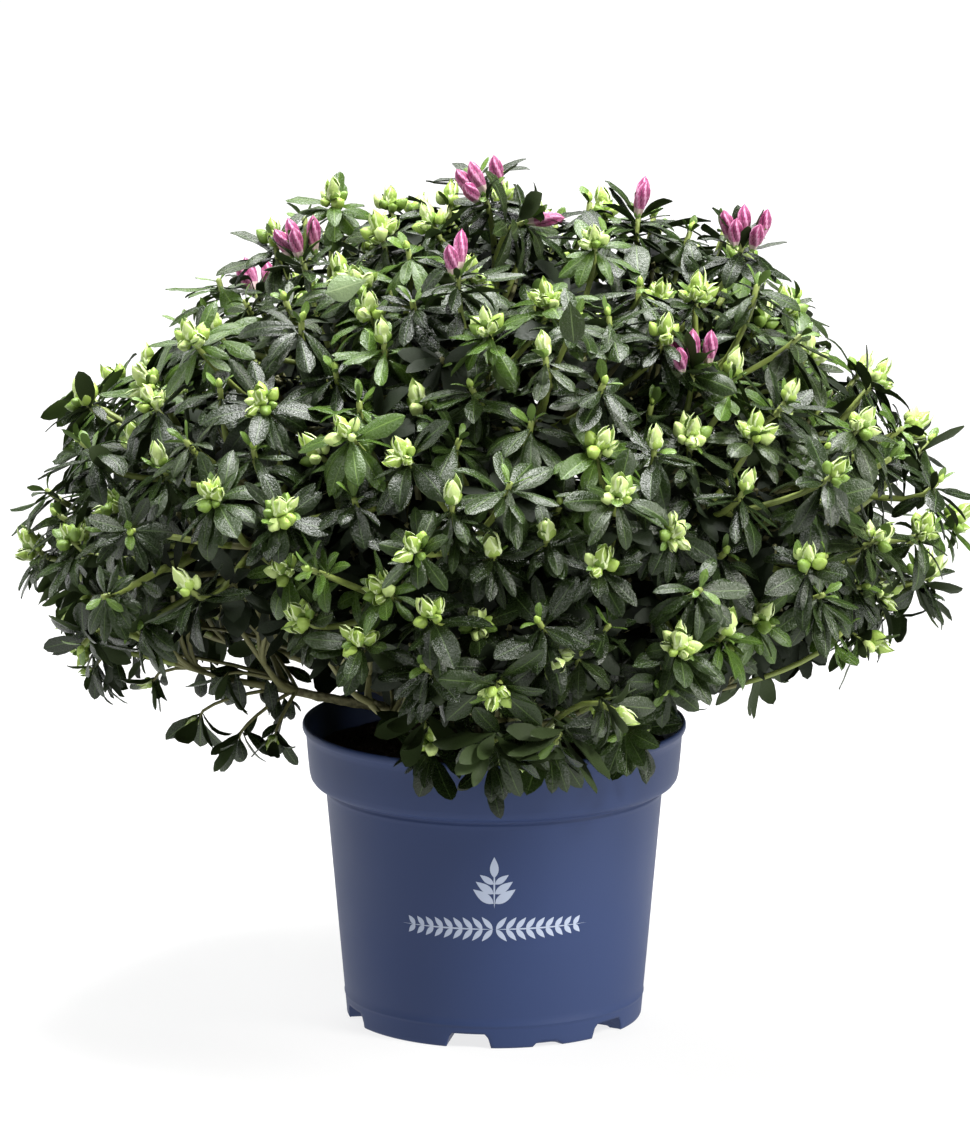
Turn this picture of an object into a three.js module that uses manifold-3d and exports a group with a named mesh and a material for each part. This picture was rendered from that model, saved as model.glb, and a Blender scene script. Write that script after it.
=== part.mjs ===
// Azalea shrub growing in a round plastic nursery pot. Millimetres, +Z up.
// The origin is the centre of the pot's flat underside, and the shrub is seen from -Y.
// A thin-walled pot holds the soil. A short flared stem forks into boughs, and every bough
// ends where it enters one of the foliage masses, which stand round a hollow in rings.

import * as THREE from "three";
import Module from "manifold-3d";
import { mergeVertices } from "three/addons/utils/BufferGeometryUtils.js";

const wasm = await Module();
wasm.setup();

// ---------------------------------------------------------------- driving dimensions

const GAP = 0.35; // between solids that touch

const POT = {
  height: 180,
  rimRadius: 115,
  bandHeight: 38, // the wide band below the rim
  bandFootRadius: 111,
  bodyTopRadius: 101.3,
  footRadius: 88.7,
  wall: 2.2,
  floorTop: 12,
  segments: 48,
};
const CHANNEL = {
  count: 6, // drainage channels across the underside
  firstBearing: -10,
  height: 8.5,
  footWidth: 25,
  topWidth: 19,
  innerRadius: 34,
  drainRadius: 6,
  drainAt: 66,
};
const FOOT_NOTCH = { count: 3, firstBearing: 21, height: 2.5, width: 16 };

const SOIL = { depthBelowRim: 18, segments: 40 };

const STEM = { height: 46, footRadius: 19, radius: 13.5, topRadius: 11, lean: 4, sides: 12 };

const CROWN = {
  centreHeight: 272, // level of the greatest width
  halfWidth: 298,
  halfDepth: 290,
  rise: 240, // above the centre
  drop: 80, // below the centre, where it is tucked up
};
// Sides where the crown hangs lower than elsewhere: bearing, width in degrees and how much lower.
const LOW_SIDES = [
  { bearing: 8, spread: 27, extra: 36 },
  { bearing: -88, spread: 34, extra: 44 },
  { bearing: 172, spread: 55, extra: 22 },
];
const HOLLOW = { centreHeight: 215, radius: 122, rise: 160, drop: 170 };
// The crown stands clear of the pot's left side, where bare limbs show.
const LEFT_GAP = { x: -128, y: -20, z: 176, halfWidth: 62, halfDepth: 95, halfHeight: 40 };

// Rings of foliage masses: how many, and the height angle of their hearts from the crown's centre.
const RINGS = [
  { name: "top", count: 1, heightAngle: 88, firstBearing: 0 },
  { name: "upper", count: 6, heightAngle: 50, firstBearing: 12 },
  { name: "shoulder", count: 8, heightAngle: 19, firstBearing: -8 },
  { name: "skirt", count: 9, heightAngle: -15, firstBearing: 6 },
];
const MASS = {
  heartShare: 0.73, // how far out the heart lies between the crown's centre and its outline
  lumpRadius: 124,
  parting: 1.6, // between a mass and the plane it shares with its neighbour
  detail: 2,
  roundness: 9,
};

// Flowering shoots are the furthest tips of the crown. Bearings run from the front to the right.
const FLOWER_SHOOTS = [
  { bearing: -60, heightAngle: 85 },
  { bearing: 92, heightAngle: 71 },
  { bearing: 86, heightAngle: 57 },
  { bearing: -80, heightAngle: 63 },
  { bearing: -8, heightAngle: 62 },
  { bearing: 42, heightAngle: 46 },
  { bearing: 148, heightAngle: 36 },
  { bearing: 192, heightAngle: 50 },
  { bearing: 216, heightAngle: 30 },
];
const TIP = { share: 0.08, spread: 11 }; // a tip's height beside the crown's radius, and its width in degrees

const BOUGH = { sides: 6, steps: 6 };
const LOW_BOUGH = { baseRadius: 3.6, tipRadius: 2.3, stemShare: 0.42 };
const MAIN_BOUGH = { baseRadius: 4.8, tipRadius: 2.8, stemShare: 0.8 };
const UPPER_BOUGH = { baseRadius: 3.2, tipRadius: 2.3, forkShare: 0.3 };
const LEADER = { baseRadius: 6.5, tipRadius: 3 };

// ---------------------------------------------------------------- helpers

const rad = THREE.MathUtils.degToRad;

// Repeatable random numbers from 0 to 1.
function randomFrom(seed) {
  let state = seed;
  return () => {
    state = (state + 0x6d2b79f5) | 0;
    let t = Math.imul(state ^ (state >>> 15), 1 | state);
    t = (t + Math.imul(t ^ (t >>> 7), 61 | t)) ^ t;
    return ((t ^ (t >>> 14)) >>> 0) / 4294967296;
  };
}

// A unit vector from a bearing (0 is the front, 90 the right) and a height angle, in degrees.
function towards(bearing, heightAngle) {
  const level = Math.cos(rad(heightAngle));
  return new THREE.Vector3(
    level * Math.sin(rad(bearing)),
    -level * Math.cos(rad(bearing)),
    Math.sin(rad(heightAngle)),
  );
}

function solidFrom(geometry) {
  const bare = geometry.index ? geometry.toNonIndexed() : geometry.clone();
  bare.deleteAttribute("normal");
  bare.deleteAttribute("uv");
  const merged = mergeVertices(bare, 1e-3);
  const triVerts = new Uint32Array(merged.index.array);
  return new wasm.Manifold(
    new wasm.Mesh({ numProp: 3, vertProperties: merged.attributes.position.array, triVerts }),
  );
}

function geometryFrom(solid) {
  const mesh = solid.getMesh();
  const places = new Float32Array(mesh.numVert * 3);
  for (let i = 0; i < mesh.numVert; i++) {
    places.set(mesh.vertProperties.subarray(i * mesh.numProp, i * mesh.numProp + 3), i * 3);
  }
  const geometry = new THREE.BufferGeometry();
  geometry.setAttribute("position", new THREE.BufferAttribute(places, 3));
  geometry.setIndex(new THREE.BufferAttribute(mesh.triVerts, 1));
  return geometry;
}

// Turns a closed outline of [radius, height] pairs round the Z axis.
function turned(outline, segments) {
  const points = outline.map(([radius, height]) => new THREE.Vector2(radius, height));
  return new THREE.LatheGeometry(points, segments).rotateX(Math.PI / 2);
}

function largestPiece(solid) {
  return solid.decompose().sort((a, b) => b.volume() - a.volume())[0];
}

// ---------------------------------------------------------------- pot and soil

// The pot's outer outline from the foot to the rim, drawn in by the inset.
function potOutline(inset) {
  const step = POT.height - POT.bandHeight + 0.9 * inset;
  const { bodyTopRadius, bandFootRadius, rimRadius } = POT;
  return [
    [POT.footRadius - inset, inset ? POT.floorTop : 0],
    [bodyTopRadius - inset, step],
    [bodyTopRadius + 4.5 - inset, step + 0.8],
    [bandFootRadius - 1.4 - inset, step + 3.5],
    [bandFootRadius - inset, step + 8],
    [rimRadius - inset, POT.height - 2],
    [rimRadius - 0.8 - inset, POT.height],
  ];
}

// A trapezoid bar that lies along a bearing under the pot and cuts its foot.
function footCutter(bearing, from, to, footWidth, topWidth, height) {
  const below = 2;
  const shape = new THREE.Shape([
    new THREE.Vector2(-footWidth / 2, -below),
    new THREE.Vector2(footWidth / 2, -below),
    new THREE.Vector2(footWidth / 2, 0),
    new THREE.Vector2(topWidth / 2, height),
    new THREE.Vector2(-topWidth / 2, height),
    new THREE.Vector2(-footWidth / 2, 0),
  ]);
  const bar = new THREE.ExtrudeGeometry(shape, { depth: to - from, bevelEnabled: false });
  bar.rotateX(Math.PI / 2); // the bar now runs from 0 towards -Y, which is bearing 0
  bar.translate(0, -from, 0);
  return solidFrom(bar.rotateZ(rad(bearing)));
}

function makePot() {
  const outline = [[0, 0], ...potOutline(0), ...potOutline(POT.wall).reverse(), [0, POT.floorTop]];
  let pot = solidFrom(turned(outline, POT.segments));
  const beyond = POT.footRadius + 6;
  for (let i = 0; i < CHANNEL.count; i++) {
    const bearing = CHANNEL.firstBearing + (360 / CHANNEL.count) * i;
    const { innerRadius, footWidth, topWidth, height, drainAt, drainRadius } = CHANNEL;
    pot = pot.subtract(footCutter(bearing, innerRadius, beyond, footWidth, topWidth, height));
    const drain = new THREE.CylinderGeometry(drainRadius, drainRadius, 3 * POT.floorTop, 12);
    const place = towards(bearing, 0).multiplyScalar(drainAt);
    drain.rotateX(Math.PI / 2).translate(place.x, place.y, 0);
    pot = pot.subtract(solidFrom(drain));
  }
  for (let i = 0; i < FOOT_NOTCH.count; i++) {
    const bearing = FOOT_NOTCH.firstBearing + (360 / FOOT_NOTCH.count) * i;
    const { width, height } = FOOT_NOTCH;
    pot = pot.subtract(footCutter(bearing, POT.footRadius - 6, beyond, width, width - 4, height));
  }
  return pot;
}

const soilTop = POT.height - SOIL.depthBelowRim;

function makeSoil() {
  const wallAndGap = POT.wall + 2 * GAP;
  const side = potOutline(wallAndGap).filter(([, height]) => height < soilTop);
  side[0][1] = POT.floorTop + GAP;
  const bandFoot = side[side.length - 1];
  const rim = potOutline(wallAndGap)[5];
  const share = (soilTop - bandFoot[1]) / (rim[1] - bandFoot[1]);
  const edge = [THREE.MathUtils.lerp(bandFoot[0], rim[0], share), soilTop];
  return solidFrom(turned([[0, side[0][1]], ...side, edge, [0, soilTop]], SOIL.segments));
}

// ---------------------------------------------------------------- limbs

// A closed tapering tube round a curve. Each end is cut square to the curve.
function limb(curve, radiusAt, sides, steps) {
  const frames = curve.computeFrenetFrames(steps, false);
  const places = [];
  const faces = [];
  for (let i = 0; i <= steps; i++) {
    const centre = curve.getPointAt(i / steps);
    for (let k = 0; k < sides; k++) {
      const turn = (2 * Math.PI * k) / sides;
      const out = frames.normals[i].clone().multiplyScalar(Math.cos(turn));
      out.addScaledVector(frames.binormals[i], Math.sin(turn));
      places.push(...centre.clone().addScaledVector(out, radiusAt(i / steps)));
    }
  }
  for (let i = 0; i < steps; i++) {
    for (let k = 0; k < sides; k++) {
      const a = i * sides + k;
      const b = i * sides + ((k + 1) % sides);
      faces.push(a, b, b + sides, a, b + sides, a + sides);
    }
  }
  const last = steps * sides;
  for (let k = 1; k < sides - 1; k++) {
    faces.push(0, k + 1, k, last, last + k, last + k + 1);
  }
  const geometry = new THREE.BufferGeometry();
  geometry.setAttribute("position", new THREE.BufferAttribute(new Float32Array(places), 3));
  geometry.setIndex(faces);
  return solidFrom(geometry);
}

const stemFoot = new THREE.Vector3(0, 0, soilTop + GAP);
const stemTop = new THREE.Vector3(STEM.lean, -STEM.lean / 2, soilTop + STEM.height);

function stemPoint(share) {
  return stemFoot.clone().lerp(stemTop, share);
}

// The stem flares out towards the soil, and stands a little off plumb.
function makeStem(swell) {
  const steps = 6;
  const reach = new THREE.Vector3(0, 0, swell);
  const curve = new THREE.LineCurve3(stemFoot.clone().sub(reach), stemTop.clone().add(reach));
  const radiusAt = (t) => {
    const flare = (STEM.footRadius - STEM.radius) * Math.exp(-t * 6);
    return THREE.MathUtils.lerp(STEM.radius, STEM.topRadius, t) + flare + swell;
  };
  const level = new THREE.Vector3(0, 0, soilTop + GAP - swell);
  return limb(curve, radiusAt, STEM.sides, steps).trimByPlane([0, 0, 1], level.z);
}

// ---------------------------------------------------------------- foliage masses

const crownCentre = new THREE.Vector3(0, 0, CROWN.centreHeight);

// How far the crown hangs below its centre on the side where a point lies.
function dropAt(point) {
  const bearing = THREE.MathUtils.radToDeg(Math.atan2(point.x, -point.y));
  return LOW_SIDES.reduce((drop, side) => {
    const turn = ((bearing - side.bearing + 540) % 360) - 180;
    return drop + side.extra * Math.exp(-((turn / side.spread) ** 2));
  }, CROWN.drop);
}

// How far out a point lies: 1 on the crown's smooth outline.
function crownLevel(point) {
  const up = point.z - CROWN.centreHeight;
  return Math.hypot(
    point.x / CROWN.halfWidth,
    point.y / CROWN.halfDepth,
    up / (up > 0 ? CROWN.rise : dropAt(point)),
  );
}

function hollowLevel(point) {
  const up = point.z - HOLLOW.centreHeight;
  const tall = up > 0 ? HOLLOW.rise : HOLLOW.drop;
  return Math.hypot(point.x / HOLLOW.radius, point.y / HOLLOW.radius, up / tall);
}

const tips = FLOWER_SHOOTS.map((shoot) => towards(shoot.bearing, shoot.heightAngle));

// The uneven outline: shallow waves all round, and a tip wherever a flowering shoot stands out.
function outlineAt(point) {
  const out = point.clone().sub(crownCentre).normalize();
  const waves =
    Math.sin(7 * out.x + 2 * out.z + 1) * Math.sin(6 * out.y - 3 * out.z) +
    0.6 * Math.sin(11 * out.z + 5 * out.x) * Math.sin(9 * out.y + 2);
  let level = 0.965 + 0.026 * waves;
  for (const tip of tips) {
    const away = THREE.MathUtils.radToDeg(out.angleTo(tip)) / TIP.spread;
    level += TIP.share * Math.exp(-away * away);
  }
  return Math.min(level, 1.05);
}

function allMasses() {
  const random = randomFrom(41);
  const found = [];
  for (const ring of RINGS) {
    for (let i = 0; i < ring.count; i++) {
      const bearing = ring.firstBearing + (360 / ring.count) * i + (random() - 0.5) * 9;
      const heightAngle = ring.heightAngle + (random() - 0.5) * (ring.count > 1 ? 7 : 0);
      const out = towards(bearing, heightAngle);
      const edge = 1 / crownLevel(crownCentre.clone().add(out));
      const share = MASS.heartShare + (random() - 0.5) * 0.04;
      found.push({
        name: ring.count > 1 ? `foliage_${ring.name}_${i + 1}` : `foliage_${ring.name}`,
        ring: ring.name,
        bearing,
        heart: crownCentre.clone().addScaledVector(out, edge * share),
        lump: MASS.lumpRadius * (0.94 + 0.12 * random()),
        phase: random() * 2 * Math.PI,
      });
    }
  }
  return found;
}

const masses = allMasses();

// How far a mass reaches from its heart along a direction, before swelling.
function reachOf(mass, out) {
  const at = (t) => mass.heart.clone().addScaledVector(out, t);
  const limits = [
    mass.lump * (1 + 0.1 * Math.sin(5 * out.x + mass.phase) * Math.cos(4 * out.z - mass.phase)),
  ];
  let inner = 0;
  let outer = 2 * MASS.lumpRadius;
  for (let i = 0; i < 24; i++) {
    const middle = (inner + outer) / 2;
    if (crownLevel(at(middle)) < outlineAt(at(middle))) inner = middle;
    else outer = middle;
  }
  limits.push(outer);
  const step = 2;
  for (let t = 0; t < 2 * MASS.lumpRadius; t += step) {
    if (hollowLevel(at(t)) < 1) {
      limits.push(t);
      break;
    }
  }
  for (const other of masses) {
    if (other === mass) continue;
    const between = other.heart.clone().sub(mass.heart);
    const half = between.length() / 2 - MASS.parting;
    const lean = between.normalize().dot(out);
    if (lean > 1e-6) limits.push(half / lean);
  }
  const sum = limits.reduce((total, t) => total + t ** -MASS.roundness, 0);
  return sum ** (-1 / MASS.roundness);
}

function massSolid(mass, swell) {
  const geometry = new THREE.IcosahedronGeometry(1, MASS.detail);
  const places = geometry.attributes.position;
  const out = new THREE.Vector3();
  for (let i = 0; i < places.count; i++) {
    out.fromBufferAttribute(places, i).normalize();
    const place = out.clone().multiplyScalar(reachOf(mass, out) + swell).add(mass.heart);
    places.setXYZ(i, ...place);
  }
  return solidFrom(geometry);
}

// Foliage stays clear of the pot and of the gap on the left.
function clearings() {
  const rim = POT.rimRadius + 3;
  const top = POT.height + 4;
  const pot = solidFrom(turned([[0, -1], [rim, -1], [rim, top], [0, top]], 24));
  const { x, y, z, halfWidth, halfDepth, halfHeight } = LEFT_GAP;
  const gap = new THREE.SphereGeometry(1, 16, 10);
  gap.scale(halfWidth, halfDepth, halfHeight).translate(x, y, z);
  return [pot, solidFrom(gap)];
}

// ---------------------------------------------------------------- boughs

function bend(start, through, end) {
  return new THREE.QuadraticBezierCurve3(start, through, end);
}

// A limb's middle point: out along the way to its end by a share, at a stated height.
function midway(start, end, share, height) {
  const middle = start.clone().lerp(end, share);
  middle.z = height;
  return middle;
}

function planBoughs() {
  const plans = [];
  const ringOf = (name) => masses.filter((mass) => mass.ring === name);
  ringOf("skirt").forEach((mass, i) => {
    const start = stemPoint(LOW_BOUGH.stemShare + 0.06 * (i % 2));
    const curve = bend(start, midway(start, mass.heart, 0.5, start.z + 4), mass.heart);
    plans.push({ name: `low_bough_${i + 1}`, curve, ...LOW_BOUGH });
  });
  const mains = ringOf("shoulder").map((mass, i) => {
    const start = stemPoint(MAIN_BOUGH.stemShare + 0.06 * (i % 2));
    const through = midway(start, mass.heart, 0.24, start.z + 88);
    return { name: `main_bough_${i + 1}`, mass, curve: bend(start, through, mass.heart), ...MAIN_BOUGH };
  });
  plans.push(...mains);
  ringOf("upper").forEach((mass, i) => {
    const apart = (main) => main.mass.heart.distanceTo(mass.heart);
    const parent = mains.reduce((best, main) => (apart(main) < apart(best) ? main : best));
    const start = parent.curve.getPoint(UPPER_BOUGH.forkShare);
    const curve = bend(start, midway(start, mass.heart, 0.35, start.z + 85), mass.heart);
    plans.push({ name: `upper_bough_${i + 1}`, curve, ...UPPER_BOUGH });
  });
  const [top] = ringOf("top");
  const leader = bend(stemTop, midway(stemTop, top.heart, 0.5, stemTop.z + 120), top.heart);
  plans.unshift({ name: "leader_bough", curve: leader, ...LEADER });
  return plans;
}

function boughSolid(plan, swell) {
  const radiusAt = (t) => THREE.MathUtils.lerp(plan.baseRadius, plan.tipRadius, t) + swell;
  return limb(plan.curve, radiusAt, BOUGH.sides, BOUGH.steps);
}

// Cuts each bough where it meets the stem, an earlier bough or a mass, and keeps the free stretch.
function makeBoughs(plans) {
  const foliage = masses.map((mass) => massSolid(mass, GAP));
  const blocks = [makeStem(GAP), ...foliage];
  const made = [];
  for (const plan of plans) {
    let solid = boughSolid(plan, 0);
    for (const block of blocks) solid = solid.subtract(block);
    made.push([plan.name, largestPiece(solid)]);
    blocks.push(boughSolid(plan, GAP));
  }
  return made;
}

// ---------------------------------------------------------------- assembly

const plant = new THREE.Group();

function addNode(name, solid, color, roughness) {
  const material = new THREE.MeshStandardMaterial({ color, roughness, metalness: 0 });
  const mesh = new THREE.Mesh(geometryFrom(solid), material);
  mesh.name = name;
  plant.add(mesh);
}

addNode("pot", makePot(), 0x46557f, 0.45);
addNode("soil", makeSoil(), 0x2a1f18, 0.95);
addNode("stem", makeStem(0), 0x6b5540, 0.85);
for (const [name, solid] of makeBoughs(planBoughs())) {
  addNode(name, solid, 0x77683f, 0.75);
}
const cleared = clearings();
for (const mass of masses) {
  let solid = massSolid(mass, 0);
  for (const space of cleared) solid = solid.subtract(space);
  addNode(mass.name, largestPiece(solid), 0x2f4229, 0.5);
}

export default plant;
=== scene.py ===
"""Looks for a potted azalea shrub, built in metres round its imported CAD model.

Every limb starts from the CAD boughs, and nearly every shoot ends on or in the CAD foliage masses.
A seeded branching rule carries each bough on through its mass to the shoots, which bear whorls of
glossy leaves, clusters of lime leaf buds and a few furled pink flower buds.
"""

import math

import bpy
import numpy as np
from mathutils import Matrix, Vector


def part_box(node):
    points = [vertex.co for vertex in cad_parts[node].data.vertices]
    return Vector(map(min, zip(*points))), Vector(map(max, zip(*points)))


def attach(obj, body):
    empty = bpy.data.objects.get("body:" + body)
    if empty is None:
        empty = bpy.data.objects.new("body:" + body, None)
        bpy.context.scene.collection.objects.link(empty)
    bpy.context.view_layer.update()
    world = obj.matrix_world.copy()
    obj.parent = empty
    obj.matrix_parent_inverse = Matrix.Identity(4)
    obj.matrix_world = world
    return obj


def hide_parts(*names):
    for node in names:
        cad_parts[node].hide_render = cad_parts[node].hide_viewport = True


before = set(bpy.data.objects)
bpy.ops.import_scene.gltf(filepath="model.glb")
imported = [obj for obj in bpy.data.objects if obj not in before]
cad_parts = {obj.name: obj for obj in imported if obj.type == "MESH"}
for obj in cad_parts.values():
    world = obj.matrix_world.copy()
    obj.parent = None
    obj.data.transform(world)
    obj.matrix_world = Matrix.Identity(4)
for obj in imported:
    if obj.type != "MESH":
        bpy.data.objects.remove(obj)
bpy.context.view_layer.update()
rng = np.random.default_rng(7)
UP = np.array([0.0, 0.0, 1.0])
MM = 0.001


# ------------------------------------------------------------------ small helpers

def unit(v):
    v = np.asarray(v, float)
    return v / max(np.linalg.norm(v), 1e-12)


def lerp(a, b, t):
    return a + (b - a) * t


def direction(bearing, height_angle):
    """Unit vector from a bearing (0 front, 90 right) and a height angle, in degrees."""
    b, h = math.radians(bearing), math.radians(height_angle)
    return np.array([math.cos(h) * math.sin(b), -math.cos(h) * math.cos(b), math.sin(h)])


def node_points(name):
    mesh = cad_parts[name].data
    points = np.empty(len(mesh.vertices) * 3, np.float32)
    mesh.vertices.foreach_get("co", points)
    return points.reshape(-1, 3).astype(float)


def across(axis):
    """Two unit vectors square to an axis."""
    side = np.cross(axis, UP if abs(axis[2]) < 0.9 else (1.0, 0.0, 0.0))
    side = unit(side)
    return side, np.cross(axis, side)


def around(axis, turn):
    """A unit vector square to an axis, turned round it by an angle."""
    side, other = across(axis)
    return math.cos(turn) * side + math.sin(turn) * other


def grid_quads(rows, columns, flip=False, start=0):
    """Faces of a sheet of rows and columns of points."""
    r, c = np.meshgrid(np.arange(rows - 1), np.arange(columns - 1), indexing="ij")
    a = (r * columns + c).ravel() + start
    quads = np.stack([a, a + 1, a + columns + 1, a + columns], axis=1)
    return quads[:, ::-1] if flip else quads


def ring_quads(rings, sides):
    """Faces between rings of points that follow each other."""
    k = np.arange(sides)
    lower = (np.arange(rings - 1)[:, None] * sides + k).ravel()
    upper = (np.arange(rings - 1)[:, None] * sides + (k + 1) % sides).ravel()
    return np.stack([lower, upper, upper + sides, lower + sides], axis=1)


def end_cap(first, sides, point, foot=False):
    """Triangles from a ring, whose points start at first, to one point at its end."""
    k = np.arange(sides)
    here, onward = first + k, first + (k + 1) % sides
    return np.stack([np.full(sides, point), *((onward, here) if foot else (here, onward))], axis=1)


def circle(sides, start=0.0):
    """Angles of the points of a ring."""
    return np.arange(sides) * 2 * np.pi / sides + start


class Sink:
    """Collects the faces of one piece, to be joined into one mesh."""

    def __init__(self):
        self.points, self.quads, self.tris, self.quad_slots, self.tri_slots = [], [], [], [], []
        self.count = 0

    def add(self, points, quads, tris=None, quad_slot=0, tri_slot=0):
        points = np.asarray(points, float).reshape(-1, 3)
        self.points.append(points)
        for faces, store, slots, slot in (
            (quads, self.quads, self.quad_slots, quad_slot),
            (tris, self.tris, self.tri_slots, tri_slot),
        ):
            if faces is not None:
                store.append(np.asarray(faces, np.int64) + self.count)
                slots.append(np.broadcast_to(slot, len(faces)))
        self.count += len(points)

    def triangles(self):
        return sum(2 * len(q) for q in self.quads) + sum(len(t) for t in self.tris)


def object_from(name, sink, materials):
    """One smooth mesh object from a sink's arrays."""
    points = np.concatenate(sink.points)
    quads = np.concatenate(sink.quads)
    tris = np.concatenate(sink.tris) if sink.tris else np.empty((0, 3), np.int64)
    slots = np.concatenate(sink.quad_slots + sink.tri_slots)
    mesh = bpy.data.meshes.new(name)
    mesh.vertices.add(len(points))
    mesh.vertices.foreach_set("co", points.astype(np.float32).ravel())
    corners = np.concatenate([quads.ravel(), tris.ravel()])
    mesh.loops.add(len(corners))
    mesh.loops.foreach_set("vertex_index", corners.astype(np.int32))
    sizes = np.concatenate([np.full(len(quads), 4), np.full(len(tris), 3)])
    mesh.polygons.add(len(sizes))
    starts = np.concatenate([[0], np.cumsum(sizes)[:-1]])
    mesh.polygons.foreach_set("loop_start", starts.astype(np.int32))
    mesh.polygons.foreach_set("material_index", slots.astype(np.int32))
    mesh.update(calc_edges=True)
    mesh.polygons.foreach_set("use_smooth", np.full(len(sizes), True))
    mesh.update()
    for material in materials:
        mesh.materials.append(material)
    obj = bpy.data.objects.new(name, mesh)
    bpy.context.scene.collection.objects.link(obj)
    return obj


# ------------------------------------------------------------------ materials

class Nodes:
    """A short way to write a material's nodes."""

    def __init__(self, name):
        self.material = bpy.data.materials.new(name)
        self.material.use_nodes = True
        self.tree = self.material.node_tree
        self.shader = self.tree.nodes["Principled BSDF"]

    def set(self, **values):
        for key, value in values.items():
            self.shader.inputs[key.replace("_", " ")].default_value = value

    def add(self, kind, **values):
        node = self.tree.nodes.new(kind)
        for key, value in values.items():
            socket = node.inputs.get(key.replace("_", " "))
            if socket is not None:
                socket.default_value = value
            else:
                setattr(node, key, value)
        return node

    def link(self, source, target):
        self.tree.links.new(source, target)

    def place(self):
        return self.add("ShaderNodeTexCoord").outputs["Object"]

    def noise(self, scale, detail=3.0):
        node = self.add("ShaderNodeTexNoise", Scale=scale, Detail=detail, Roughness=0.55)
        self.link(self.place(), node.inputs["Vector"])
        return node.outputs["Fac"]

    def ramp(self, source, low, high, start=0.3, end=0.7):
        """Maps a value from start..end to low..high."""
        node = self.add("ShaderNodeMapRange")
        for key, value in (("From Min", start), ("From Max", end), ("To Min", low), ("To Max", high)):
            node.inputs[key].default_value = value
        self.link(source, node.inputs["Value"])
        return node.outputs["Result"]

    def mix(self, source, first, second):
        """Mixes two colours by a value from 0 to 1."""
        node = self.add("ShaderNodeMix", data_type="RGBA")
        for socket, colour in ((node.inputs[6], first), (node.inputs[7], second)):
            socket.default_value = (*colour, 1)
        self.link(source, node.inputs[0])
        return node.outputs[2]

    def bump(self, source, distance, strength=1.0):
        node = self.add("ShaderNodeBump", Strength=strength, Distance=distance)
        self.link(source, node.inputs["Height"])
        self.link(node.outputs["Normal"], self.shader.inputs["Normal"])


def linear(red, green, blue):
    """Linear colour from 0..255 screen values."""
    def one(c):
        c /= 255
        return c / 12.92 if c <= 0.04045 else ((c + 0.055) / 1.055) ** 2.4
    return tuple(one(c) for c in (red, green, blue))


def plant_material(name, colour, roughness, grain, bump, gloss=0.5, spread=0.12):
    """Plain colour with fine relief and patchy gloss."""
    nodes = Nodes(name)
    nodes.set(Base_Color=(*linear(*colour), 1), Specular_IOR_Level=gloss)
    noise = nodes.noise(grain)
    nodes.link(nodes.ramp(noise, roughness - spread, roughness + spread), nodes.shader.inputs["Roughness"])
    nodes.bump(noise, bump)
    return nodes.material


LEAF_TINTS = {
    "deep": dict(colour=(25, 37, 14), rib=(58, 76, 38), under=(41, 53, 25)),
    "dark": dict(colour=(35, 50, 19), rib=(72, 92, 44), under=(48, 62, 30)),
    "mid": dict(colour=(57, 80, 27), rib=(94, 118, 52), under=(66, 84, 39)),
    "grey": dict(colour=(40, 52, 26), rib=(76, 92, 54), under=(57, 69, 41)),
    "fresh": dict(colour=(86, 112, 47), rib=(116, 144, 66), under=(80, 104, 46)),
    "pale": dict(colour=(116, 134, 96), rib=(140, 156, 116), under=(118, 136, 98)),
}


def leaf_materials(name):
    tint = LEAF_TINTS[name]
    face = plant_material(f"leaf_{name}", tint["colour"], 0.28, 760, 0.00055, gloss=0.36, spread=0.1)
    rib = plant_material(f"leaf_{name}_rib", tint["rib"], 0.45, 900, 0.0001, gloss=0.4)
    under = plant_material(f"leaf_{name}_under", tint["under"], 0.6, 900, 0.0001, gloss=0.25)
    return [face, rib, under]


def keep(name, sink, materials, nodes=()):
    """Makes a piece from a sink and the CAD nodes it stands for."""
    obj = object_from(name, sink, materials)
    if nodes:
        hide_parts(*nodes)
    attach(obj, "root")
    return obj


# ------------------------------------------------------------------ tubes and limbs

def bezier(a, b, c, d, steps):
    t = np.linspace(0, 1, steps + 1)[:, None]
    s = 1 - t
    return s**3 * a + 3 * s * s * t * b + 3 * s * t * t * c + t**3 * d


def tube(sink, path, radii, sides, wobble=0.0):
    """A closed tube along a path, with its rings turned as little as possible."""
    path = np.asarray(path, float)
    count = len(path)
    tangents = np.gradient(path, axis=0)
    tangents /= np.linalg.norm(tangents, axis=1)[:, None]
    side, _ = across(tangents[0])
    turn = circle(sides)
    rings = np.empty((count, sides, 3))
    for i in range(count):
        side = unit(side - tangents[i] * side.dot(tangents[i]))
        other = np.cross(tangents[i], side)
        radius = radii[i] * (1 + wobble * rng.uniform(-1, 1, sides)) if wobble else radii[i]
        ring = np.cos(turn)[:, None] * side + np.sin(turn)[:, None] * other
        rings[i] = path[i] + ring * np.reshape(radius, (-1, 1))
    ends = [path[0], path[-1] + tangents[-1] * radii[-1] * 0.7]
    total = count * sides
    caps = [end_cap(0, sides, total, foot=True), end_cap(total - sides, sides, total + 1)]
    sink.add(np.concatenate([rings.reshape(-1, 3), ends]), ring_quads(count, sides), np.concatenate(caps))


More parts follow.
